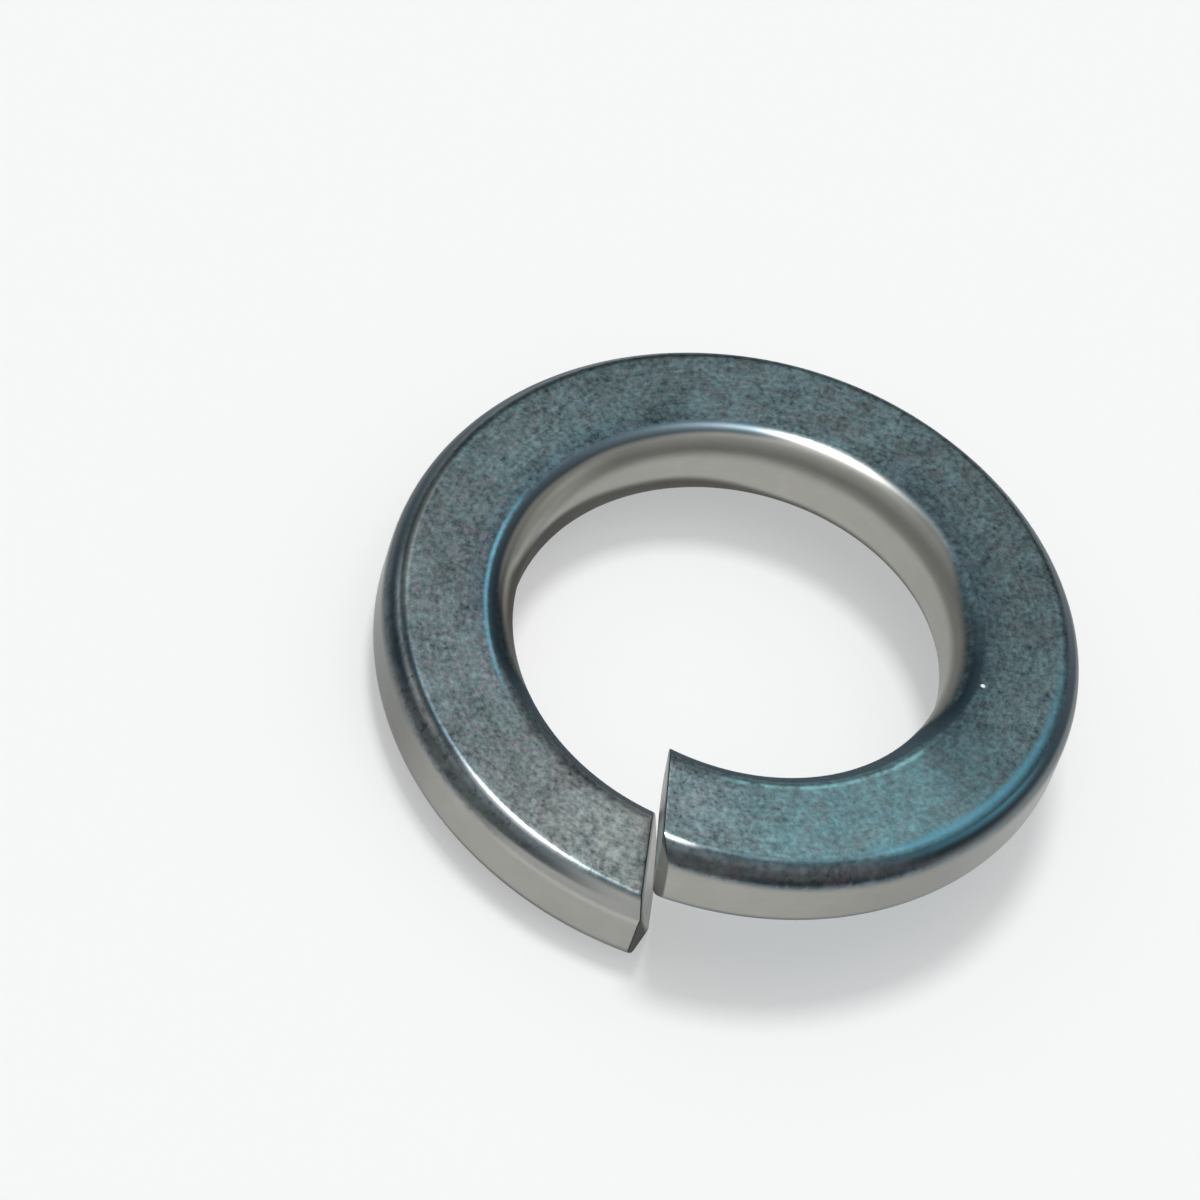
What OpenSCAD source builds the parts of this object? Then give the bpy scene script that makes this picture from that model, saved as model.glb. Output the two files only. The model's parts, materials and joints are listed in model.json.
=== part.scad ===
// Spring lock washer
//
// One turn of bevelled spring wire, wound as a left-hand helix and sheared
// across, so that its two ends stand apart along the bore. A bolt passes
// through the bore along Z. Z = 0 is the middle of the free height, and the
// split faces -Y. Dimensions are in millimetres.

/* [Bore and wire] */
// Diameter of the bore
bore_d = 16.2; // [15:0.1:18]
// Width of the wire from the bore to the rim
wire_width = 5; // [4:0.1:6.5]
// Thickness of the wire along the bore
wire_thickness = 3.5; // [2.8:0.1:4.5]
// Space along the bore between the low end's top face and the high end's underside
end_clearance = 0.35; // [0.3:0.05:2]

/* [Bevels at the rim] */
// Reach of each rim bevel across the wire's flat face
rim_bevel_across = 0.65; // [0.4:0.05:1]
// Reach of each rim bevel down the rim's wall
rim_bevel_down = 0.8; // [0.4:0.05:1]
// Rounding where a rim bevel meets the flat face
rim_flat_edge_r = 0.45; // [0.05:0.05:0.6]
// Rounding where a rim bevel meets the rim's wall
rim_wall_edge_r = 0.75; // [0.1:0.05:1]

/* [Rounding at the bore] */
// Reach of each rounded bore corner across the wire's flat face
bore_round_across = 1.2; // [0.4:0.05:1.5]
// Reach of each rounded bore corner down the bore's wall
bore_round_down = 1.15; // [0.4:0.05:1.3]

/* [Sheared ends] */
// Gap between the ends, halfway across the wire and level with the top faces; below zero, they overlap
end_gap = -0.15; // [-0.3:0.05:1]
// Slant of the high end's cut away from a true radius
high_slant = 13; // [0:1:20]
// Slant of the low end's cut away from a true radius
low_slant = 10.5; // [0:0.5:20]
// Lean of the high end's cut, out of upright
high_lean = 6; // [0:1:14]
// Lean of the low end's cut, out of upright
low_lean = 14; // [0:1:16]

/* [Strips that broke off at the rim] */
// Width of the high end's broken strip on the underside
high_break = 0.7; // [0.3:0.05:2.5]
// Width of the low end's broken strip on the underside
low_break = 1.7; // [0.3:0.05:2.5]
// Lean of the ridge beside the high end's strip, which narrows the strip towards the top
high_ridge_lean = 0; // [0:1:35]
// Lean of the ridge beside the low end's strip
low_ridge_lean = 31; // [0:1:35]
// Angle by which the high end's strip falls away from its cut
high_break_angle = 20; // [10:1:35]
// Angle by which the low end's strip falls away from its cut
low_break_angle = 26; // [10:1:35]

/* [Hidden] */

// The split lies at this angle round the bore
split_angle = -90;
// One turn is made of this many steps, and the wire runs this far past the split before it is cut
turn_steps = 105;
overrun_angle = 12;
// Steps round one bore corner and round each edge of a rim bevel
bore_corner_steps = 6;
rim_edge_steps = 3;
// Facets round the bore and the rim
smooth = 180;
// The wound wire is this much wider than it ends up at the bore and the rim
trim = 0.15;
// An outline that runs on to a wall stays this far above the wire's middle
run_on_floor = 0.1;

bore_r = bore_d / 2;
rim_r = bore_r + wire_width;
mid_r = (bore_r + rim_r) / 2;
half_t = wire_thickness / 2;
// The wire climbs by the lead in one turn
lead = wire_thickness + end_clearance;
// Direction of a rim bevel's outward normal, above level
bevel_normal = atan2(rim_bevel_across, rim_bevel_down);
// Cutters reach this far past the faces that they pass through
cut_margin = 1;
cutter_height = 2 * (wire_thickness + lead);
// The room for each end's overrun is this much wider than the overrun
overrun_margin = 0.5;

// Zinc plate on spring steel
zinc = [0.55, 0.58, 0.58];

// The wire's section, as [radius, height] points

function flip_z(points) = [for (i = [len(points) - 1 : -1 : 0]) [points[i][0], -points[i][1]]];

// Runs the line from b to a on until it stands at radius r
function run_on(a, b, r) =
    [r, max(run_on_floor, a[1] + (b[1] - a[1]) * (r - a[0]) / (b[0] - a[0]))];

// Part of an oval, from direction g0 to g1 about its centre
function oval(centre, across, up, g0, g1, steps) =
    [for (i = [0:steps])
        let (g = g0 + (g1 - g0) * i / steps)
        centre + [across * cos(g), up * sin(g)]];

// The upper rim corner, from the rim's wall to the flat face
function rim_corner() =
    let (
        nr = cos(bevel_normal),
        nz = sin(bevel_normal),
        reach = nr * rim_r + nz * (half_t - rim_bevel_down),
        wall_r = rim_r - rim_wall_edge_r,
        flat_z = half_t - rim_flat_edge_r,
        wall_arc = oval([wall_r, (reach - rim_wall_edge_r - nr * wall_r) / nz],
                        rim_wall_edge_r, rim_wall_edge_r, 0, bevel_normal, rim_edge_steps),
        flat_arc = oval([(reach - rim_flat_edge_r - nz * flat_z) / nr, flat_z],
                        rim_flat_edge_r, rim_flat_edge_r, bevel_normal, 90, rim_edge_steps)
    )
    concat([run_on(wall_arc[1], wall_arc[0], rim_r + trim)],
           [for (i = [1:rim_edge_steps]) wall_arc[i]], flat_arc);

// The upper bore corner, from the flat face to the bore's wall
function bore_corner() =
    let (arc = oval([bore_r + bore_round_across, half_t - bore_round_down],
                    bore_round_across, bore_round_down, 90, 180, bore_corner_steps))
    concat([for (i = [0:bore_corner_steps - 1]) arc[i]],
           [run_on(arc[bore_corner_steps - 1], arc[bore_corner_steps], bore_r - trim)]);

function upper_half() = concat(rim_corner(), bore_corner());
function section() = concat(upper_half(), flip_z(upper_half()));

// The winding, which falls from the high end to the low end as the angle grows

function climb(angle) = lead / 2 - lead * (angle - split_angle) / 360;
function ring(angle) =
    [for (p = section()) [p[0] * cos(angle), p[0] * sin(angle), p[1] + climb(angle)]];

module wound_wire() {
    first = split_angle - overrun_angle;
    turn = 360 + 2 * overrun_angle;
    steps = ceil(turn_steps * turn / 360);
    n = len(section());
    points = [for (i = [0:steps]) each ring(first + turn * i / steps)];
    start_cap = [[for (j = [n - 1:-1:0]) j]];
    end_cap = [[for (j = [0:n - 1]) steps * n + j]];
    sides = [for (i = [0:steps - 1], j = [0:n - 1])
        let (a = i * n + j, b = i * n + (j + 1) % n)
        each [[a, b, a + n], [b, b + n, a + n]]];
    polyhedron(points = points, faces = concat(start_cap, sides, end_cap), convexity = 8);
}

// The sheared ends

// The part of the winding past one end's cut. The end is "high" or "low". Each
// cut has a main face and a strip along the rim, where the metal broke off.
module past_cut(end) {
    high = end == "high";
    side = high ? -1 : 1;
    rim_y = mid_r - rim_r;
    slant = high ? high_slant : low_slant;
    lean = high ? high_lean : low_lean;
    strip = high ? high_break : low_break;
    strip_angle = high ? high_break_angle : low_break_angle;
    intersection() {
        translate([-side * end_gap / 2, -mid_r, half_t - side * lead / 2])
            rotate([0, 0, slant])
                rotate([0, -lean, 0]) {
                    waste(side, rim_y - cut_margin, wire_width + 2 * cut_margin);
                    translate([0, rim_y + strip, -wire_thickness])
                        rotate([high ? high_ridge_lean : low_ridge_lean, 0, 0])
                            rotate([0, 0, -side * strip_angle])
                                waste(side, -strip - cut_margin, strip + 2 * cut_margin);
                }
        overrun(high);
    }
}

// The room that one end's overrun takes up: a wedge above Z = 0, which lies
// between the two ends, for the high end, and below it for the low end
module overrun(high) {
    outer = rim_r + cut_margin;
    side_x = outer * tan(overrun_angle + overrun_margin);
    translate([0, 0, high ? 0 : -cutter_height])
        linear_extrude(height = cutter_height)
            polygon([[0, 0], [-side_x, -outer], [side_x, -outer]]);
}

// A block on one side of a cut's face, as long as the wire is wide
module waste(side, y, width) {
    translate([side < 0 ? -wire_width : 0, y, -cutter_height / 2])
        cube([wire_width, width, cutter_height]);
}

// All that stands outside the rim
module rim_tube() {
    difference() {
        cylinder(h = cutter_height, r = rim_r + cut_margin, center = true, $fn = smooth);
        cylinder(h = cutter_height + cut_margin, r = rim_r, center = true, $fn = smooth);
    }
}

module lock_washer() {
    color(zinc)
    difference() {
        wound_wire();
        cylinder(h = cutter_height, r = bore_r, center = true, $fn = smooth);
        rim_tube();
        past_cut("high");
        past_cut("low");
    }
}

lock_washer();
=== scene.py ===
import json
import math

import bmesh
import bpy
import numpy as np
from mathutils import Matrix, Vector


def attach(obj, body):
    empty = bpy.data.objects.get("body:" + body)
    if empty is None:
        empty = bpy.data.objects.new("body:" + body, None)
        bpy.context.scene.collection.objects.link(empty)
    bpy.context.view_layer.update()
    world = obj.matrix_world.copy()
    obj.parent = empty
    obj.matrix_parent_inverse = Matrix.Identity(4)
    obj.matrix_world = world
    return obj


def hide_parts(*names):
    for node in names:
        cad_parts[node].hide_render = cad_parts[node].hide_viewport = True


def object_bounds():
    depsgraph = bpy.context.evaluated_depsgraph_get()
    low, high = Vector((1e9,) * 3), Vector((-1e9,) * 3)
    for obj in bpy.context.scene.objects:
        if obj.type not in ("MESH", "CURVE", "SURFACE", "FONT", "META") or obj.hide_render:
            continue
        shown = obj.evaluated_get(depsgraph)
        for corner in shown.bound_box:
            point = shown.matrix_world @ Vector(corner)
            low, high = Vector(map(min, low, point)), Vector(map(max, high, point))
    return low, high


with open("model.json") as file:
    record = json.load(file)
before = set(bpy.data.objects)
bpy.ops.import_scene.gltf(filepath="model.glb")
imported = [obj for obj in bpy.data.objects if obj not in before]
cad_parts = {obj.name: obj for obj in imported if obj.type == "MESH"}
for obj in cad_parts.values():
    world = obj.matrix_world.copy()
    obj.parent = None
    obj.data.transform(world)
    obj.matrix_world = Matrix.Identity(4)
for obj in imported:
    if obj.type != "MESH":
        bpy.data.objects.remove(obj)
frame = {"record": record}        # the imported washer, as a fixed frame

bl_info = {
    "name": "Spring Lock Washer",
    "version": (1, 0, 0),
    "blender": (4, 5, 0),
    "location": "View3D > Sidebar > Lock Washer",
    "description": "Builds a zinc plated spring lock washer, its soft studio and its camera",
    "category": "Object",
}

MM = 0.001
NODE = "lock_washer"
PIECE = "washer_wire"
CAD_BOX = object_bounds()
BORE = next(m for m in frame["record"]["mounts"] if m["name"] == "bore")
BORE_RADIUS_MM = BORE["dims"]["r_mm"]
RIM_RADIUS_MM = CAD_BOX[1].x / MM
# The split faces -Y: the wire starts there with its high end and ends with its low end
SPLIT = -math.pi / 2
TURN = 2 * math.pi


# Sizes and colours that a user would change

def length(name, description, mm, lowest_mm=0.0):
    return bpy.props.FloatProperty(name=name, description=description, default=mm * MM,
                                   min=lowest_mm * MM, unit="LENGTH", precision=5)


def angle(name, description, degrees):
    return bpy.props.FloatProperty(
        name=name, description=description, default=math.radians(degrees), subtype="ANGLE")


def colour(name, description, rgb):
    return bpy.props.FloatVectorProperty(
        name=name, description=description, default=rgb, size=3, min=0.0, max=1.0, subtype="COLOR")


def share(name, description, value):
    return bpy.props.FloatProperty(
        name=name, description=description, default=value, min=0.0, max=1.0, subtype="FACTOR")


def light(name, description, strength):
    return bpy.props.FloatProperty(name=name, description=description, default=strength, min=0.0)


class WASHER_PG_sizes(bpy.types.PropertyGroup):
    """The wire, its bevels and its sheared ends, as in the CAD source"""
    bore_diameter: length("Bore", "Diameter of the bore", 2 * BORE_RADIUS_MM)
    rim_diameter: length("Rim", "Diameter of the rim", 2 * RIM_RADIUS_MM)
    thickness: length("Thickness", "Thickness of the wire along the bore", 3.5)
    end_clearance: length("End clearance", "Space along the bore between the two ends", 0.35)
    bevel_across: length("Bevel across", "Reach of each rim bevel across the flat face", 0.65)
    bevel_down: length("Bevel down", "Reach of each rim bevel down the rim's wall", 0.8)
    flat_edge: length("Flat edge", "Rounding where a bevel meets the flat face", 0.45)
    wall_edge: length("Wall edge", "Rounding where a bevel meets the rim's wall", 0.75)
    bore_across: length("Bore rounding across", "Reach of each bore corner over the flat face", 1.2)
    bore_down: length("Bore rounding down", "Reach of each bore corner down the bore's wall", 1.15)
    end_gap: length("End gap", "Gap between the ends, level with the top faces", -0.15, lowest_mm=-0.3)
    high_slant: angle("High end slant", "Slant of the high end's cut away from a radius", 13)
    low_slant: angle("Low end slant", "Slant of the low end's cut away from a radius", 10.5)
    high_lean: angle("High end lean", "Lean of the high end's cut, out of upright", 6)
    low_lean: angle("Low end lean", "Lean of the low end's cut, out of upright", 14)
    high_break: length("High end strip", "Width of its broken strip on the underside", 0.7)
    low_break: length("Low end strip", "Width of its broken strip on the underside", 1.7)
    high_ridge_lean: angle("High ridge lean", "Lean of the ridge beside the high end's strip", 0)
    low_ridge_lean: angle("Low ridge lean", "Lean of the ridge beside the low end's strip", 31)
    high_break_angle: angle("High break angle", "Angle by which the strip falls away from the cut", 20)
    low_break_angle: angle("Low break angle", "Angle by which the strip falls away from the cut", 26)
    edge_dulling: length("Edge dulling", "Rounding that the tumbling left on the cut edges", 0.05)
    break_relief: length("Break relief", "Depth of the torn grain on the broken strip", 0.03)


class WASHER_PG_zinc(bpy.types.PropertyGroup):
    """The zinc plate and the sheared steel under it"""
    wall: colour("Wall", "Zinc on the rim's wall and in the bore", (0.36, 0.355, 0.325))
    face: colour("Face", "Zinc on the flat faces", (0.115, 0.15, 0.155))
    front: colour("Front", "Zinc on the flat faces near the high end", (0.20, 0.30, 0.32))
    pale: colour("Pale", "Zinc on the flat faces near the low end", (0.40, 0.43, 0.41))
    teal: colour("Teal", "Tint of the passivation where it is thickest", (0.20, 0.46, 0.52))
    violet: colour("Violet", "Tint of its faint violet spots", (0.17, 0.14, 0.18))
    # Painted sheen: this pale blue stands in for the light that the upper rim bevels catch
    painted_bevel_sheen: colour("Haze", "Pale blue haze high on the rim bevels", (0.36, 0.44, 0.48))
    slate: colour("Slate", "Greyer zinc low on the rim bevels", (0.21, 0.235, 0.24))
    # Real dark spots, and painted shade on the rim bevels, the bore's corner and the rim bevel's edge
    film_and_shade: colour("Film", "Dark film along the rim bevels and the bore", (0.03, 0.052, 0.068))
    # Blue tint with painted sheen along the edges of the top face, the right bevel and the bore's corner
    blue: colour("Blue", "Blue film round the edges of the top face", (0.14, 0.41, 0.54))
    # Painted shade in brown: low in the bore, low on the wire at the left, and faint on the face there
    brown_shade: colour("Stain", "Brown stain low in the bore", (0.065, 0.06, 0.05))
    # Painted sheen and painted highlights: beside the low end and high on the left bevel
    bright: colour("Bright", "Burnished zinc beside the low end", (0.70, 0.70, 0.66))
    speck: colour("Speck", "Dark specks in the plate", (0.05, 0.07, 0.08))
    # A painted glint
    glint: colour("Glint", "Turquoise line inside the front of the bore", (0.45, 0.90, 0.92))
    # Painted highlights: the high end's corner, the rim's edge at the left front and a pin glint on the top
    # face
    spark: colour("Spark", "Zinc struck or worn bare, and the one nick in the top face", (0.95, 0.97, 1.0))
    sheared: colour("Sheared", "Thinly plated steel on the cut faces", (0.30, 0.30, 0.28))
    torn: colour("Torn", "Steel on the strips that broke", (0.055, 0.056, 0.043))
    mottling: share("Mottling", "Strength of the mottling on the flat faces", 0.6)


class WASHER_PG_studio(bpy.types.PropertyGroup):
    """The floor, the lights and the surroundings"""
    floor: colour("Floor", "Colour of the floor", (0.96, 0.96, 0.96))
    floor_glow: share("Floor glow", "Share of plain white in the floor's look", 0.4)
    room: colour("Room", "Tint of the light from the room", (0.97, 0.99, 1.0))
    floor_radius: length("Floor radius", "Flat part of the floor", 560.0)
    sweep_radius: length("Sweep radius", "Radius of the curve that turns the floor up at its edge", 45.0)
    key_width: angle("Key width", "Width of the soft lamp as seen from the washer", 14)
    key_light: light("Key light", "Strength of the soft lamp", 1.5)
    wall_light: light("Wall light", "Brightness of the room's walls", 0.16)
    slope_light: light("Upper light", "Brightness of the room half-way up", 0.42)
    ceiling_light: light("Ceiling light", "Brightness of the ceiling straight overhead", 1.2)


# The wire's shape, worked out in millimetres

class Wire:
    """The wire's section, its winding and its two cuts, with every length in millimetres"""
    # Steps that bring a point of the winding on to a cut, and places tried in the search for its ridge
    cut_steps, ridge_tries = 8, 2000

    def __init__(self, sizes):
        for name in sizes.__annotations__:
            value = getattr(sizes, name)
            if not name.endswith(("slant", "lean", "angle")):
                value /= MM
            setattr(self, name, value)
        self.bore_r = self.bore_diameter / 2
        self.rim_r = self.rim_diameter / 2
        self.mid_r = (self.bore_r + self.rim_r) / 2
        self.half_t = self.thickness / 2
        self.lead = self.thickness + self.end_clearance
        self.outline = Outline(self.half_outline())

    def climb(self, turned):
        return self.lead * (0.5 - (turned - SPLIT) / TURN)

    def place(self, r, z, turned):
        """Points of the winding, from section points and the angle turned"""
        return np.stack([r * np.cos(turned), r * np.sin(turned), z + self.climb(turned)], -1)

    def bevel_normal(self):
        return math.atan2(self.bevel_across, self.bevel_down)

    def half_outline(self):
        """The section's upper half from the rim's wall to the bore's wall, in fine steps"""
        lean = self.bevel_normal()
        nr, nz = math.cos(lean), math.sin(lean)
        reach = nr * self.rim_r + nz * (self.half_t - self.bevel_down)
        wall_r = self.rim_r - self.wall_edge
        flat_z = self.half_t - self.flat_edge
        wall_centre = (wall_r, (reach - self.wall_edge - nr * wall_r) / nz)
        flat_centre = ((reach - self.flat_edge - nz * flat_z) / nr, flat_z)
        bore_centre = (self.bore_r + self.bore_across, self.half_t - self.bore_down)

        def oval(centre, across, up, first, last, steps=40):
            turned = np.linspace(first, last, steps + 1)
            return np.stack([centre[0] + across * np.cos(turned), centre[1] + up * np.sin(turned)], -1)

        quarter = math.pi / 2
        return np.concatenate([
            oval(wall_centre, self.wall_edge, self.wall_edge, 0, lean),
            oval(flat_centre, self.flat_edge, self.flat_edge, lean, quarter),
            oval(bore_centre, self.bore_across, self.bore_down, quarter, 2 * quarter),
        ])

    def cut_planes(self, high):
        """(outward-facing normal, point) of a cut's main face and of its broken strip"""
        side, end = (-1, "high") if high else (1, "low")
        names = ("_slant", "_lean", "_ridge_lean", "_break", "_break_angle")
        slant, lean, ridge_lean, strip, strip_angle = (getattr(self, end + name) for name in names)
        origin = Vector((-side * self.end_gap / 2, -self.mid_r, self.half_t - side * self.lead / 2))
        main = Matrix.Rotation(slant, 3, "Z") @ Matrix.Rotation(-lean, 3, "Y")
        turned_strip = Matrix.Rotation(ridge_lean, 3, "X") @ Matrix.Rotation(-side * strip_angle, 3, "Z")
        ridge = origin + main @ Vector((0, self.mid_r - self.rim_r + strip, -self.thickness))
        across = Vector((1, 0, 0))
        return (main @ across, origin), (main @ turned_strip @ across, ridge)

    def meet(self, r, z, plane, high):
        """The angle at which the path of each section point meets a plane"""
        normal, origin = (np.array(v) for v in plane)
        turned = np.full(np.shape(r), SPLIT if high else SPLIT + TURN)
        for _ in range(self.cut_steps):
            gap = (self.place(r, z, turned) - origin) @ normal
            rate = -r * np.sin(turned) * normal[0] + r * np.cos(turned) * normal[1]
            rate = rate - self.lead / TURN * normal[2]
            turned = turned - gap / rate
        return turned

    def cut(self, r, z, high):
        """The angle at which the wire ends at each section point, and the share of broken strip there"""
        main, strip = (self.meet(r, z, plane, high) for plane in self.cut_planes(high))
        if high:
            return np.maximum(main, strip), strip > main
        return np.minimum(main, strip), strip < main

    def ridge(self, face, high):
        """How far along the outline the broken strip reaches, on the top (1) or underneath (-1)"""
        tries = np.linspace(0, self.outline.measure[-1], self.ridge_tries)
        broken = self.cut(*(self.outline.at(tries) * (1, face)).T, high)[1]
        return tries[max(1, int(np.argmin(broken)))]


class Outline:
    """The upper half of the section as a line, measured so that its bends count as length"""
    long_step, wide_bend = 0.3, math.radians(7)

    def __init__(self, points):
        steps = np.diff(points, axis=0)
        bend = np.abs(np.gradient(np.unwrap(np.arctan2(steps[:, 1], steps[:, 0]))))
        self.points = points
        added = np.hypot(*steps.T) / self.long_step + bend / self.wide_bend
        self.measure = np.append(0, np.cumsum(added))

    def at(self, measure):
        return np.stack([np.interp(measure, self.measure, self.points[:, i]) for i in (0, 1)], -1)


def pulled_in(loop, by):
    """A closed outline, moved inwards by that much"""
    ahead = np.roll(loop, -1, axis=0) - loop
    ahead /= np.maximum(np.hypot(*ahead.T), 1e-9)[:, None]
    along = ahead + np.roll(ahead, 1, axis=0)
    along /= np.hypot(*along.T)[:, None]
    # The outline runs from the rim over the top to the bore, so its inside is on the left
    return loop + by * np.stack([-along[:, 1], along[:, 0]], -1)


def lattice(width, height, seed, cells):
    """Smooth noise from -1 to 1 on a grid of points"""
    values = np.random.default_rng(seed).uniform(-1, 1, (cells[0] + 2, cells[1] + 2))
    u = np.linspace(0, cells[0], width)[:, None]
    v = np.linspace(0, cells[1], height)[None, :]
    i, j = u.astype(int), v.astype(int)
    fu, fv = u - i, v - j
    fu, fv = fu * fu * (3 - 2 * fu), fv * fv * (3 - 2 * fv)
    near = values[i, j] * (1 - fv) + values[i, j + 1] * fv
    far = values[i + 1, j] * (1 - fv) + values[i + 1, j + 1] * fv
    return near * (1 - fu) + far * fu


class Section:
    """The outline as four sides of a grid: over the top, down the bore, back underneath, up the rim"""
    rim_columns, bore_columns, rows = 22, 44, 22
    columns = rim_columns + bore_columns

    def __init__(self, wire, top_at, under_at):
        self.top_at, self.under_at = top_at, under_at
        self.top = wire.outline.at(top_at)
        self.under = wire.outline.at(under_at) * (1, -1)
        self.rim = self.wall(self.top[0], self.under[0])
        self.bore = self.wall(self.top[-1], self.under[-1])

    @classmethod
    def at_end(cls, wire, high):
        """The section whose columns meet the ridge of one end's cut"""
        def spread(ridge):
            near_bore = np.linspace(ridge, wire.outline.measure[-1], cls.bore_columns + 1)
            return np.append(np.linspace(0, ridge, cls.rim_columns + 1), near_bore[1:])
        return cls(wire, spread(wire.ridge(1, high)), spread(wire.ridge(-1, high)))

    def towards(self, wire, other, t):
        """A section whose columns lie part of the way from this one's to another's"""
        return Section(wire, self.top_at + (other.top_at - self.top_at) * t,
                       self.under_at + (other.under_at - self.under_at) * t)

    def wall(self, first, last):
        t = np.linspace(0, 1, self.rows + 1)[:, None]
        return first + (last - first) * t

    def loop(self):
        return np.vstack([self.top[:-1], self.bore[:-1], self.under[:0:-1], self.rim[:0:-1]])

    def grid(self, loop):
        """Fills an outline like this one with columns and rows of points"""
        c, k = self.columns, self.rows
        top, bore = loop[:c + 1], loop[c:c + k + 1]
        under = loop[c + k:2 * c + k + 1][::-1]
        rim = np.vstack([loop[2 * c + k:], loop[:1]])[::-1]
        u = np.linspace(0, 1, c + 1)[:, None, None]
        v = np.linspace(0, 1, k + 1)[None, :, None]
        between = (1 - v) * top[:, None] + v * under[:, None] + (1 - u) * rim[None] + u * bore[None]
        at_top = (1 - u) * (1 - v) * top[0] + u * (1 - v) * top[-1]
        return between - at_top - (1 - u) * v * under[0] - u * v * under[-1]

    def loop_of(self, grid):
        """Indices of the grid's border points, in the order of the outline"""
        c, k = self.columns, self.rows
        index = np.arange((c + 1) * (k + 1)).reshape(c + 1, k + 1)
        return np.concatenate([index[:-1, 0], index[-1, :-1], index[:0:-1, -1], index[0, :0:-1]])


class WASHER_OT_wire(bpy.types.Operator):
    """Wind the bevelled wire into one turn, shear its ends and plate it"""
    bl_idname = "washer.wire"
    bl_label = "Washer Wire"

    rings = 288
    # Steps round the dulled edge of each cut, from the side to the face
    lip_degrees = (30, 60)

    def execute(self, context):
        wire = Wire(context.scene.washer_sizes)
        mesh = bpy.data.meshes.new(PIECE)
        piece = bpy.data.objects.new(PIECE, mesh)
        context.scene.collection.objects.link(piece)
        self.build(mesh, wire)
        zinc = context.scene.washer_zinc
        mesh.materials.append(ZincPlate(zinc).material())
        mesh.materials.append(sheared_steel(zinc))
        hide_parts(NODE)
        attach(piece, "root")
        return {"FINISHED"}

    def build(self, mesh, wire):
        ends = {high: self.end(wire, high) for high in (True, False)}
        first, last = (ends[high]["section"] for high in (True, False))
        first_turned, last_turned = (ends[high]["side"] for high in (True, False))
        points, shapes = [], []

        def add(section_points, turned):
            start = sum(len(p) for p in points)
            points.append(wire.place(section_points[:, 0], section_points[:, 1], turned))
            shapes.append(self.coordinates(wire, section_points, turned))
            return start + np.arange(len(section_points))

        dull = wire.edge_dulling / (TURN * wire.mid_r)
        # Closer rings beside each end keep the shading of its dulled edge off the sides
        first_close, next_close = 2 * dull, 6 * dull
        shares = np.concatenate([[0, first_close, next_close], np.linspace(0, 1, self.rings + 1)[2:-2],
                                 [1 - next_close, 1 - first_close, 1]])
        loops = []
        for high in (True, False):
            for section_points, turned in ends[high]["lip"]:
                loops.append(add(section_points, turned))
            if high:
                for t in shares:
                    loops.append(add(first.towards(wire, last, t).loop(),
                                     first_turned + (last_turned - first_turned) * t))
        caps = {high: add(*ends[high]["face"]) for high in (True, False)}
        # The lips are listed from the side to the face: turn the high end's round, and close on the faces
        lips = len(ends[True]["lip"])
        loops = loops[:lips][::-1] + loops[lips:]
        loops = [caps[True][ends[True]["border"]]] + loops + [caps[False][ends[False]["border"]]]

        bm = bmesh.new()
        names = ("turned", "reach", "level", "broken")
        layers = {name: bm.verts.layers.float.new(name) for name in names}
        verts = [bm.verts.new(p * MM) for p in np.concatenate(points)]
        for vert, values in zip(verts, np.concatenate(shapes)):
            for layer, value in zip(layers.values(), values):
                vert[layer] = value
        strips = len(loops) - 1
        for strip, (near, far) in enumerate(zip(loops[:-1], loops[1:])):
            n = len(near)
            for j in range(n):
                quad = (near[j], near[(j + 1) % n], far[(j + 1) % n], far[j])
                face = bm.faces.new([verts[i] for i in quad])
                face.material_index = int(min(strip, strips - 1 - strip) <= lips)
        for high, cap in caps.items():
            section = ends[high]["section"]
            index = cap.reshape(section.columns + 1, section.rows + 1)
            for c in range(section.columns):
                for k in range(section.rows):
                    quad = [index[c, k], index[c, k + 1], index[c + 1, k + 1], index[c + 1, k]]
                    face = bm.faces.new([verts[i] for i in (quad if high else quad[::-1])])
                    face.material_index = 1
            for k in range(section.rows):
                ridge = verts[index[section.rim_columns, k]], verts[index[section.rim_columns, k + 1]]
                bm.edges.get(ridge).smooth = False
        for face in bm.faces:
            face.smooth = True
        bmesh.ops.recalc_face_normals(bm, faces=bm.faces[:])
        if bm.calc_volume(signed=True) < 0:
            bmesh.ops.reverse_faces(bm, faces=bm.faces[:])
        bm.to_mesh(mesh)
        bm.free()

    def end(self, wire, high):
        """One end: where its sides stop, the dulled lip round its face, and the face itself"""
        section = Section.at_end(wire, high)
        into_wire = 1 if high else -1
        loop = section.loop()
        d = wire.edge_dulling
        side = wire.cut(*loop.T, high)[0] + into_wire * d / loop[:, 0]
        lip = []
        for degrees in self.lip_degrees:
            a = math.radians(degrees)
            inner = pulled_in(loop, d * (1 - math.cos(a)))
            back = into_wire * d * (1 - math.sin(a)) / inner[:, 0]
            lip.append((inner, wire.cut(*inner.T, high)[0] + back))
        grid = section.grid(pulled_in(loop, d))
        flat = grid.reshape(-1, 2)
        turned, broken = wire.cut(*flat.T, high)
        shape = grid.shape[:2]
        coarse = lattice(*shape, seed=11 + high, cells=(20, 9))
        fine = lattice(*shape, seed=21 + high, cells=(37, 14))
        torn = coarse * 0.6 + fine * 0.4
        depth = np.where(broken.reshape(shape), wire.break_relief * (0.5 + 0.5 * torn), 0)
        depth[0], depth[-1], depth[:, 0], depth[:, -1] = 0, 0, 0, 0
        depth[section.rim_columns] = 0
        turned = turned + into_wire * depth.ravel() / flat[:, 0]
        return {"section": section, "side": side, "lip": lip, "face": (flat, turned),
                "border": section.loop_of(grid)}

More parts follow.
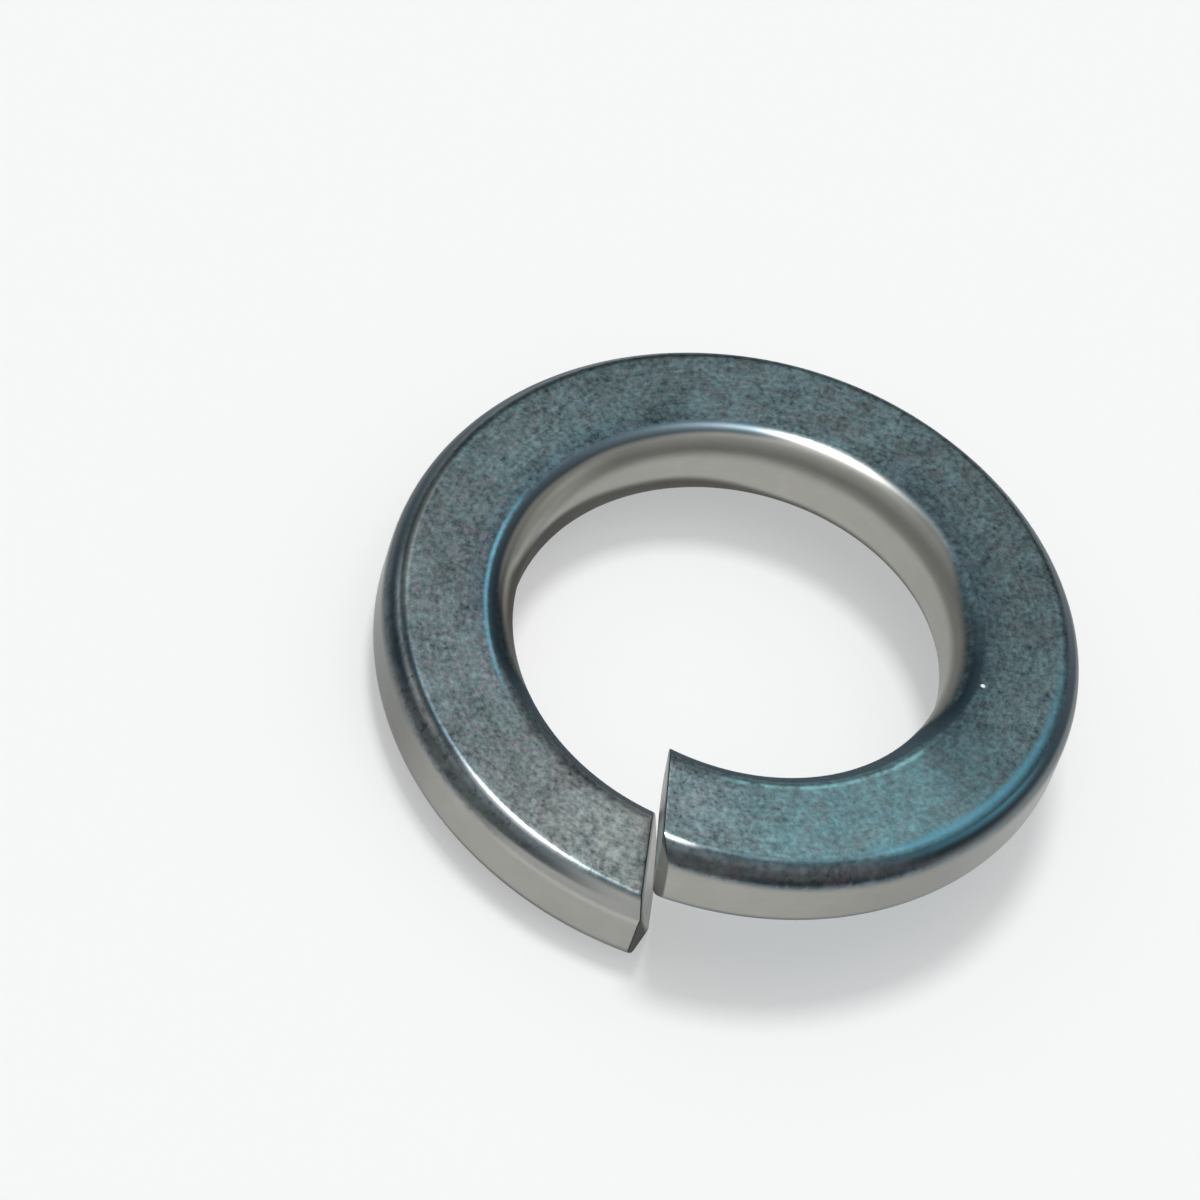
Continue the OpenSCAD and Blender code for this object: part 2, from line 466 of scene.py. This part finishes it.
    def coordinates(self, wire, section_points, turned):
        """Where each point lies: the turn from the high end, the reach from bore to rim, the level from
        underside to top face, and whether it lies past the ridge of its cut"""
        r, z = section_points.T
        high = np.mean(turned) < math.pi / 2
        broken = wire.cut(r, z, high)[1]
        return np.stack([(turned - SPLIT) / TURN, (r - wire.bore_r) / (wire.rim_r - wire.bore_r),
                         z / wire.half_t, broken.astype(float)], -1)


# Materials, with their maths written out as expressions

class Term:
    """A socket with a value on it, so that numbers and sockets add, multiply and compare as they read"""

    def __init__(self, tree, socket):
        self.tree, self.socket = tree, socket

    def maths(self, operation, *values):
        node = self.tree.nodes.new("ShaderNodeMath")
        node.operation = operation
        for socket, value in zip(node.inputs, values):
            plug(self.tree, socket, value)
        return Term(self.tree, node.outputs[0])

    def __add__(self, other):
        return self.maths("ADD", self, other)

    __radd__ = __add__

    def __mul__(self, other):
        return self.maths("MULTIPLY", self, other)

    __rmul__ = __mul__

    def __sub__(self, other):
        return self.maths("SUBTRACT", self, other)

    def __rsub__(self, other):
        return self.maths("SUBTRACT", other, self)

    def __abs__(self):
        return self.maths("ABSOLUTE", self)

    def highest(self, other):
        return self.maths("MAXIMUM", self, other)

    def ramp(self, low, high):
        """0 below low, 1 above high and a soft step between them; turned round if low is the larger"""
        node = self.tree.nodes.new("ShaderNodeMapRange")
        node.interpolation_type = "SMOOTHSTEP"
        for name, value in (("Value", self), ("From Min", min(low, high)), ("From Max", max(low, high))):
            plug(self.tree, node.inputs[name], value)
        rising = Term(self.tree, node.outputs["Result"])
        return rising if low < high else 1 - rising

    def band(self, low, high, soft):
        """1 between low and high, with soft sides"""
        return self.ramp(low - soft, low + soft) * self.ramp(high + soft, high - soft)


def plug(tree, socket, value):
    if isinstance(value, Term):
        tree.links.new(value.socket, socket)
    else:
        if hasattr(value, "__len__") and len(value) == 3 and socket.type == "RGBA":
            value = (*value, 1.0)
        socket.default_value = value


class Shades:
    """The node tree of a material or a world, with one method for its nodes"""

    def __init__(self, owner):
        owner.use_nodes = True
        self.owner, self.tree = owner, owner.node_tree
        self.tree.nodes.clear()

    def node(self, kind, settings=None, sockets=None, out=0):
        node = self.tree.nodes.new(kind)
        for name, value in (settings or {}).items():
            setattr(node, name, value)
        for name, value in (sockets or {}).items():
            found = next((s for s in node.inputs if s.identifier == name), None) or node.inputs[name]
            plug(self.tree, found, value)
        return Term(self.tree, node.outputs[out])

    def mesh_value(self, name):
        return self.node("ShaderNodeAttribute", {"attribute_name": name}, out="Fac")

    def place(self):
        return self.node("ShaderNodeTexCoord", out="Object")

    def vector(self, x, y, z):
        return self.node("ShaderNodeCombineXYZ", sockets={0: x, 1: y, 2: z})

    def noise(self, place, size_mm, detail=2.0, rough=0.5, seed=0.0):
        """Smooth noise from 0 to 1 whose blobs are about this size"""
        return self.node("ShaderNodeTexNoise", {"noise_dimensions": "4D"},
                         {"Vector": place, "W": seed, "Scale": 1 / (size_mm * MM), "Detail": detail,
                          "Roughness": rough}, out="Fac")

    def blend(self, share_of_b, a, b):
        return self.node("ShaderNodeMix", {"data_type": "RGBA"},
                         {"Factor_Float": share_of_b, "A_Color": a, "B_Color": b}, out=2)

    def scaled(self, rgb, tone):
        return self.node("ShaderNodeVectorMath", {"operation": "SCALE"}, {0: rgb, "Scale": tone})

    def finish(self, shader, output="ShaderNodeOutputMaterial"):
        self.tree.links.new(shader.socket, self.tree.nodes.new(output).inputs["Surface"])
        return self.owner


class ZincPlate(Shades):
    """Blue zinc plate: mottled on the flat faces, bluer along the bevels, plain on the walls.
    Turned runs from 0 at the high end over 0.25 on the right, 0.5 at the back and 0.75 on the left
    to 1 at the low end, reach from 0 at the bore to 1 at the rim, and level from -1 on the underside
    to 1 on the top face."""
    # Lengths along, across and up the wire, shortened along it so that noise drawn there makes streaks
    streak_mm = (6.6, 5.0, 1.75)
    # The painted pin glint's place, its size, and how many wire widths a turn is long there
    nick_turned, nick_reach, nick_size, widths_a_turn = 0.2516, 0.268, (0.0005, 0.0001), 12

    def __init__(self, zinc):
        super().__init__(bpy.data.materials.new("zinc_plate"))
        self.zinc, self.where = zinc, self.place()
        names = ("turned", "reach", "level")
        self.turned, self.reach, self.level = (self.mesh_value(name) for name in names)
        self.make_noise()
        self.find_zones()

    def find_zones(self):
        """The parts of the washer that its colours and its roughness share: 1 inside and 0 outside"""
        turned, reach, level = self.turned, self.reach, self.level
        height = abs(level)
        self.top = level.ramp(0.0, 0.2)
        self.right_front = turned.band(0.05, 0.205, 0.035)
        back = turned.band(0.36, 0.79, 0.05)
        front = turned.ramp(0.24, 0.17) + turned.ramp(0.83, 0.89)
        # The flat faces run to the bore's corner in front, but stop at its rounding at the back
        self.flat = (reach + front * 0.08 - back * 0.12).ramp(0.05, 0.12) * height.ramp(0.50, 0.62)
        self.bevel = reach.ramp(0.865, 0.90) * height.ramp(0.42, 0.68)
        self.upper, self.higher = height.ramp(0.64, 0.76), height.ramp(0.78, 0.92)
        self.in_bore = reach.ramp(0.14, 0.05)
        # Painted shade, in brown, climbs up the bore from the back to the left
        late = (turned - 0.45).highest(0.0)
        bore_shade_top = late * late * 14 - 0.5 + turned.band(0.53, 0.60, 0.03) * 0.1
        self.bore_shade = (bore_shade_top - level).ramp(-0.10, 0.18) * self.in_bore * turned.ramp(0.88, 0.80)
        # Painted sheen near the low end, on its face and bevel
        self.low_end_sheen = (turned - self.upper * 0.05).ramp(0.90, 0.95) * self.top
        # Painted shade darkens the bore's corner but for its lit part at the back, where its highlight shows
        lit = turned.ramp(0.26, 0.34) * 0.7 - turned.band(0.38, 0.44, 0.02) * 0.4
        lit = (lit + turned.ramp(0.44, 0.465) * 0.3) * turned.ramp(0.54, 0.475)
        shift = turned.band(0.51, 0.63, 0.03) * 0.015 - turned.ramp(0.66, 0.72) * 0.02
        corner = (reach + front * 0.2 + shift).ramp(0.12, 0.16) * (reach + front * 0.08).ramp(0.25, 0.21)
        self.corner = corner * (1 - lit) * self.top
        # The painted shade in the bore, and on the front of its corner, is also made duller: less metallic
        # and rougher
        self.dull = self.bore_shade.highest(self.corner * front * 0.8)
        front_line = turned.band(0.03, 0.18, 0.03) * reach.band(0.180, 0.215, 0.02)
        self.front_line = front_line * self.tint.ramp(0.2, 0.6)
        across = reach - self.nick_reach
        along = (turned - self.nick_turned) * self.widths_a_turn
        self.nick = (across * across + along * along).ramp(*self.nick_size)

    def make_noise(self):
        place = self.where
        along, across, up = (length_mm * MM for length_mm in self.streak_mm)
        drawn = self.vector(self.turned * along, self.reach * across, self.level * up)
        self.blotch = self.noise(place, 1.05, 2.0, 0.5, 1.0)
        self.mottle = self.noise(place, 0.22, 2.0, 0.6, 2.0)
        self.tint = self.noise(place, 0.55, 2.0, 0.6, 3.0)
        self.other_tint = self.noise(place, 0.30, 2.0, 0.6, 4.0)
        self.fleck = self.noise(place, 0.16, 1.0, 0.5, 5.0)
        self.streak = self.noise(drawn, 0.16, 2.0, 0.6, 6.0)

    def face(self):
        """The flat faces: bluer towards the high end, paler towards the low end, and mottled"""
        zinc, turned, reach = self.zinc, self.turned, self.reach
        face = self.blend(turned.ramp(0.36, 0.08), zinc.face, zinc.front)
        face = self.blend(turned.ramp(0.07, 0.01) * 0.6, face, zinc.slate)
        pale = turned.ramp(0.86, 1.03)
        face = self.blend(pale, face, zinc.pale)
        # A little painted shade in brown over the face on the left and by the low end
        face = self.blend(turned.band(0.70, 1.1, 0.05) * 0.12, face, zinc.brown_shade)
        # The face darkens towards the bore on the right, and from the back to the left
        inner = turned.band(0.19, 0.45, 0.03) * 0.55 + turned.band(0.39, 0.44, 0.02) * 0.2
        inner = (inner + turned.band(0.58, 0.83, 0.05) * 0.75) * reach.ramp(0.50, 0.20)
        face = self.blend(inner, face, zinc.film_and_shade)
        left = turned.band(0.72, 0.97, 0.04)
        teal = (0.14 - left * 0.09 + self.right_front * 0.33) * self.tint.ramp(0.30, 0.62)
        face = self.blend(teal, face, zinc.teal)
        violet = self.other_tint.ramp(0.45, 0.72) * (0.5 + left * 0.4) * zinc.mottling
        face = self.blend(violet, face, zinc.violet)
        flecked = (1 - pale * 0.6) * (1 - self.right_front * 0.6)
        flecked = flecked + turned.ramp(0.03, 0.0) * reach.ramp(0.9, 0.3)
        face = self.blend(self.fleck.ramp(0.54, 0.76) * flecked * (0.8 * zinc.mottling), face, zinc.speck)
        grain = (self.mottle - 0.5) * 2.5 + (self.blotch - 0.5) * 1.1 + (self.streak - 0.5) * 0.9
        grain = grain * (1 - self.right_front * 0.35)
        # Painted shade: the face darker on the left, by the low end and at the right front, lighter at the
        # left front
        shade = 1 - turned.band(0.54, 0.84, 0.06) * 0.28 - turned.band(0.90, 0.955, 0.03) * 0.12
        shade = shade - turned.band(0.175, 0.225, 0.025) * 0.25 + turned.band(0.79, 0.87, 0.03) * 0.12
        face = self.scaled(face, (1 + grain * (1.5 * zinc.mottling)) * shade)
        # Blue tint with painted sheen along the outer edge on the right, a pale painted sheen on the left
        sheen = turned.ramp(0.09, 0.14) * turned.ramp(0.33, 0.20) * reach.band(0.80, 0.875, 0.03)
        face = self.blend(sheen * self.top * 0.75, face, zinc.blue)
        left_edge = turned.band(0.72, 0.80, 0.02) * reach.band(0.835, 0.88, 0.015) * self.top
        return self.blend(left_edge * 0.35, face, zinc.pale)

    def walls(self):
        """The rim's wall and the bore's, with painted shade in brown low in the bore"""
        zinc, turned = self.zinc, self.turned
        # Darker on the walls at the left front and the right front; a painted soft highlight high on the
        # bore's wall at the left
        wall_darkening = turned.band(0.78, 0.88, 0.03) * 0.4 + turned.band(0.09, 0.17, 0.03) * 0.15
        glow = turned.band(0.66, 0.80, 0.03) * self.reach.band(0.04, 0.11, 0.02)
        tone = 0.87 + self.streak * 0.10 + self.blotch * 0.16
        wall = self.scaled(zinc.wall, tone * (1 - wall_darkening + self.in_bore * 0.18 + glow))
        return self.blend(self.bore_shade * (0.8 + turned.ramp(0.64, 0.72) * 0.17), wall, zinc.brown_shade)

    def bevels(self, face):
        """The rim bevels: painted shade on most, cloudy by the high end, painted sheen and highlights at the
        left
        """
        zinc, turned, upper, higher, top = self.zinc, self.turned, self.upper, self.higher, self.top
        # Painted sheen on the bevels' upper half, greyer lower down
        rim = self.blend(higher, zinc.slate, zinc.painted_bevel_sheen)
        # Painted shade darkens the bevels round most of the ring, low and high
        bevel_shade_low = turned.band(0.04, 0.13, 0.02) * 0.8 + turned.band(0.45, 0.86, 0.03) * 0.5
        bevel_shade_high = turned.band(0.12, 0.86, 0.03) * (1 - higher * turned.ramp(0.76, 0.80))
        bevel_shade_high = bevel_shade_high * (0.93 + turned.band(0.22, 0.31, 0.03) * 0.07)
        rim = self.blend(bevel_shade_low + (bevel_shade_high - bevel_shade_low) * upper, rim, zinc.film_and_shade)
        # A faint violet tint lies over the darker lower half of the cloudy part
        cloudy = turned.ramp(0.17, 0.10)
        clouds = cloudy * turned.ramp(0.01, 0.06)
        rim = self.blend(clouds * self.tint.ramp(0.42, 0.62) * (0.9 - upper * 0.5), rim, zinc.violet)
        # A painted highlight, a bright patch, starts the long highlight on the left
        rim = self.blend(turned.band(0.845, 0.88, 0.015) * higher * 0.7, rim, zinc.bright)
        # Dark spots lie on the cloudy part, and under the highlight
        spots = (cloudy * 0.3 + turned.band(0.82, 0.95, 0.03) * 0.5) * top
        rim = self.blend(spots * self.other_tint.ramp(0.53, 0.66), rim, zinc.film_and_shade)
        spotted = (cloudy + turned.band(0.78, 0.95, 0.03)) * top
        rim = self.scaled(rim, 1 + spotted * ((self.blotch - 0.5) * 0.9 + (self.mottle - 0.5) * 1.1))
        # Blue tint with painted sheen high on the bevel on the right
        rim = self.blend(turned.band(0.12, 0.21, 0.03) * higher * 0.75, rim, zinc.blue)
        rim = self.blend(turned.band(0.40, 0.77, 0.04) * higher * 0.8, rim, face)
        return self.blend(self.low_end_sheen * 0.85, rim, zinc.bright)

    def corners(self, base):
        """Painted sheen on the low end's inner corner, and painted shade, in brown, low on the wire beside
        it
        """
        zinc, turned = self.zinc, self.turned
        inner = turned.ramp(0.965, 1.0) * self.reach.ramp(0.35, 0.05) * self.top
        base = self.blend(inner * 0.5, base, zinc.bright)
        # Painted shade, in brown, low on the wire at the left front
        under = turned.band(0.80, 0.97, 0.03) * self.level.ramp(-0.42, -0.60)
        return self.blend(under * 0.6, base, zinc.brown_shade)

    def lines(self, base):
        """Painted shade and a painted glint along the bore's corner, a blue line partly painted sheen, and
        painted shade along the rim bevel's edge
        """
        zinc, turned, reach, top = self.zinc, self.turned, self.reach, self.top
        # Painted shade on the bore's corner
        base = self.blend(self.corner * 0.9, base, zinc.film_and_shade)
        # A painted glint along the front of the bore's corner
        base = self.blend(self.front_line * top * 0.6, base, zinc.glint)
        # A blue line on the bore's corner at the left, partly painted sheen
        left_line = turned.band(0.72, 0.86, 0.03) * reach.band(0.235, 0.262, 0.012)
        base = self.blend(left_line * (0.3 + self.tint * 0.4) * top, base, zinc.blue)
        # Painted shade along the rim bevel's edge, lifted where its highlights are
        lit_edge = turned.band(0.91, 0.975, 0.012) + turned.band(0.12, 0.21, 0.02)
        lit_edge = lit_edge + turned.ramp(0.022, 0.012)
        edge_shade = 0.1 + (turned.ramp(0.12, 0.08) + turned.ramp(0.79, 0.84)) * 0.55
        return self.blend(reach.band(0.83, 0.885, 0.02) * (1 - lit_edge) * edge_shade * top, base, zinc.film_and_shade)

    def painted_highlights(self):
        """Painted highlights: a streak at the high end's corner, a line along the rim's edge at the left
        front and a pin glint
        """
        turned, reach = self.turned, self.reach
        corner_streak = (reach - turned * 0.4).band(0.845, 0.872, 0.01) * turned.ramp(0.026, 0.010)
        edge_streak = reach.band(0.85, 0.885, 0.01) * turned.band(0.905, 0.955, 0.02) * 0.6
        return corner_streak.highest(edge_streak).highest(self.nick) * self.top

    def roughness(self):
        polish = 0.28 + self.flat * 0.10 + self.in_bore * 0.17 + self.bevel * self.low_end_sheen * 0.2
        return polish + self.dull * 0.3 + self.front_line * 0.2

    def material(self):
        face = self.face()
        base = self.blend(self.bevel, self.blend(self.flat, self.walls(), face), self.bevels(face))
        base = self.corners(base)
        base = self.lines(base)
        # Painted highlights in white
        base = self.blend(self.painted_highlights(), base, self.zinc.spark)
        small = self.noise(self.where, 0.12, 2.0, 0.55, 7.0)
        large = self.noise(self.where, 0.5, 2.0, 0.5, 8.0)
        dents = (small * 0.6 + large * 0.4) * (0.06 + self.flat * 0.94)
        bump = self.node("ShaderNodeBump", sockets={"Strength": 0.3, "Distance": 0.02 * MM, "Height": dents})
        return self.finish(self.node("ShaderNodeBsdfPrincipled", sockets={
            "Base Color": base, "Metallic": 1 - self.nick.highest(self.dull),
            "Roughness": self.roughness(), "Normal": bump, "Specular Tint": (0.76, 0.78, 0.80)}))


def sheared_steel(zinc):
    """The ends: fine shear streaks down the cut, darker torn grain on the strip that broke"""
    s = Shades(bpy.data.materials.new("sheared_end"))
    place = s.place()
    turned, reach, level, broken = (s.mesh_value(name) for name in ("turned", "reach", "level", "broken"))
    # Noise on a place squeezed upwards makes streaks down the cut
    drawn = s.node("ShaderNodeVectorMath", {"operation": "MULTIPLY"}, {0: place, 1: (1.0, 1.0, 0.12)})
    streaks = s.noise(drawn, 0.18, 2.0, 0.6, 1.0)
    torn = s.noise(place, 0.14, 3.0, 0.7, 2.0)
    base = s.blend(streaks.ramp(0.3, 0.7), zinc.sheared, zinc.wall)
    # The cut's upper edge is darker
    base = s.blend(level.ramp(0.60, 0.75) * 0.85, base, zinc.film_and_shade)
    # The broken strips are darker, and the low end darker still, also a little further in from its rim
    low_end = turned.ramp(0.4, 0.6)
    tearing = broken.highest(reach.ramp(0.83, 0.90) * low_end) * (0.2 + low_end * 0.6 + torn * 0.25)
    base = s.blend(tearing, base, zinc.torn)
    roughness = 0.38 + broken * 0.22
    height = streaks * (1 - broken) + torn * broken * 1.6
    bump = s.node("ShaderNodeBump", sockets={"Strength": 0.5, "Distance": 0.03 * MM, "Height": height})
    return s.finish(s.node("ShaderNodeBsdfPrincipled", sockets={
        "Base Color": base, "Metallic": 1.0, "Roughness": roughness, "Normal": bump}))


def pale_paint(studio):
    """The floor: pale paint that keeps the shadow, seen partly as plain white, also in the metal"""
    s = Shades(bpy.data.materials.new("studio_floor"))
    path = "ShaderNodeLightPath"
    seen = s.node(path, out="Is Camera Ray").highest(s.node(path, out="Is Glossy Ray"))
    seen = seen.highest(s.node(path, out="Is Transmission Ray"))
    paint = s.node("ShaderNodeBsdfDiffuse", sockets={"Color": tuple(studio.floor)})
    white = s.node("ShaderNodeEmission", sockets={"Color": (1.0, 1.0, 1.0), "Strength": 1.0})
    glow = seen * studio.floor_glow
    return s.finish(s.node("ShaderNodeMixShader", sockets={0: glow, 1: paint, 2: white}))


class WASHER_OT_studio(bpy.types.Operator):
    """Make the pale floor, the soft light, the room and the camera"""
    bl_idname = "washer.studio"
    bl_label = "Studio"

    # The camera, as fitted to the photograph: degrees, and millimetres from the middle of the bore
    elevation, azimuth, roll = 51.06903, 1.84012, 19.40514
    distance_mm, side_mm, rise_mm = 298.475, 4.7697, -1.4982
    lens_mm, sensor_mm = 240.0, 36.0
    key_from = (-0.12, 0.18, 0.976)
    # Steps round the floor, degrees from one step of its curved edge to the next, and metres to weld
    floor_steps, sweep_degrees, weld = 96, 6, 1e-6

    def execute(self, context):
        studio = context.scene.washer_studio
        self.floor(context, studio)
        self.light(context, studio)
        self.camera(context)
        context.scene.view_settings.view_transform = "Standard"
        return {"FINISHED"}

    def floor(self, context, studio):
        """A round floor at the washer's lowest point, which curves up at its edge"""
        low = CAD_BOX[0].z
        flat, curve = studio.floor_radius, studio.sweep_radius
        profile = [(0.0, 0.0), (flat / 2, 0.0)]
        profile += [(flat + curve * math.sin(a), curve * (1 - math.cos(a)))
                    for a in (math.radians(d) for d in range(0, 91, self.sweep_degrees))]
        bm = bmesh.new()
        verts = [bm.verts.new((r, 0, low + z)) for r, z in profile]
        edges = [bm.edges.new(pair) for pair in zip(verts[:-1], verts[1:])]
        bmesh.ops.spin(bm, geom=verts + edges, cent=(0, 0, 0), axis=(0, 0, 1), angle=TURN,
                       steps=self.floor_steps, use_merge=True)
        bmesh.ops.remove_doubles(bm, verts=bm.verts[:], dist=self.weld)
        bmesh.ops.recalc_face_normals(bm, faces=bm.faces[:])
        for face in bm.faces:
            face.smooth = True
        mesh = bpy.data.meshes.new("studio_floor")
        bm.to_mesh(mesh)
        bm.free()
        mesh.materials.append(pale_paint(studio))
        floor = bpy.data.objects.new("studio_floor", mesh)
        context.scene.collection.objects.link(floor)

    def light(self, context, studio):
        key = bpy.data.lights.new("key_light", "SUN")
        key.energy = studio.key_light
        key.angle = studio.key_width
        lamp = bpy.data.objects.new("key_light", key)
        lamp.rotation_mode = "QUATERNION"
        lamp.rotation_quaternion = Vector(self.key_from).to_track_quat("Z", "Y")
        context.scene.collection.objects.link(lamp)
        context.scene.world = self.room(studio)

    def room(self, studio):
        """Dim walls, a lighter upper room and a bright ceiling"""
        s = Shades(bpy.data.worlds.new("studio_room"))
        direction = s.node("ShaderNodeTexCoord", out="Generated")
        rise = s.node("ShaderNodeSeparateXYZ", sockets={0: direction}, out="Z")
        upper = rise.ramp(0.42, 0.66) * (studio.slope_light - studio.wall_light)
        ceiling = rise.ramp(0.84, 1.0) * (studio.ceiling_light - studio.slope_light)
        light = s.node("ShaderNodeBackground", sockets={
            "Color": tuple(studio.room), "Strength": studio.wall_light + upper + ceiling})
        return s.finish(light, "ShaderNodeOutputWorld")

    def camera(self, context):
        el, az, roll = (math.radians(d) for d in (self.elevation, self.azimuth, self.roll))
        back = Vector((math.sin(az) * math.cos(el), -math.cos(az) * math.cos(el), math.sin(el)))
        level = Vector((math.cos(az), math.sin(az), 0))
        right = math.cos(roll) * level + math.sin(roll) * back.cross(level)
        up = back.cross(right)
        data = bpy.data.cameras.new("photo_camera")
        data.lens, data.sensor_width = self.lens_mm, self.sensor_mm
        data.clip_start, data.clip_end = 0.01, 10.0
        camera = bpy.data.objects.new("photo_camera", data)
        camera.location = (back * self.distance_mm - right * self.side_mm - up * self.rise_mm) * MM
        camera.rotation_mode = "QUATERNION"
        camera.rotation_quaternion = Matrix((right, up, back)).transposed().to_quaternion()
        context.scene.collection.objects.link(camera)
        context.scene.camera = camera


class WASHER_PT_panel(bpy.types.Panel):
    """Sizes, colours and the steps that build the washer"""
    bl_idname = "WASHER_PT_panel"
    bl_label = "Lock Washer"
    bl_space_type = "VIEW_3D"
    bl_region_type = "UI"
    bl_category = "Lock Washer"

    def draw(self, context):
        for group, operator in (("washer_sizes", "washer.wire"), ("washer_zinc", None),
                                ("washer_studio", "washer.studio")):
            values = getattr(context.scene, group)
            box = self.layout.box()
            for name in values.__annotations__:
                box.prop(values, name)
            if operator:
                box.operator(operator)


CLASSES = (WASHER_PG_sizes, WASHER_PG_zinc, WASHER_PG_studio,
           WASHER_OT_wire, WASHER_OT_studio, WASHER_PT_panel)


def register():
    for cls in CLASSES:
        bpy.utils.register_class(cls)
    for name, group in (("washer_sizes", WASHER_PG_sizes), ("washer_zinc", WASHER_PG_zinc),
                        ("washer_studio", WASHER_PG_studio)):
        setattr(bpy.types.Scene, name, bpy.props.PointerProperty(type=group))


def unregister():
    for name in ("washer_sizes", "washer_zinc", "washer_studio"):
        delattr(bpy.types.Scene, name)
    for cls in reversed(CLASSES):
        bpy.utils.unregister_class(cls)


def main():
    register()
    bpy.ops.washer.wire()
    bpy.ops.washer.studio()
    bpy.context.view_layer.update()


if __name__ == "__main__":
    main()
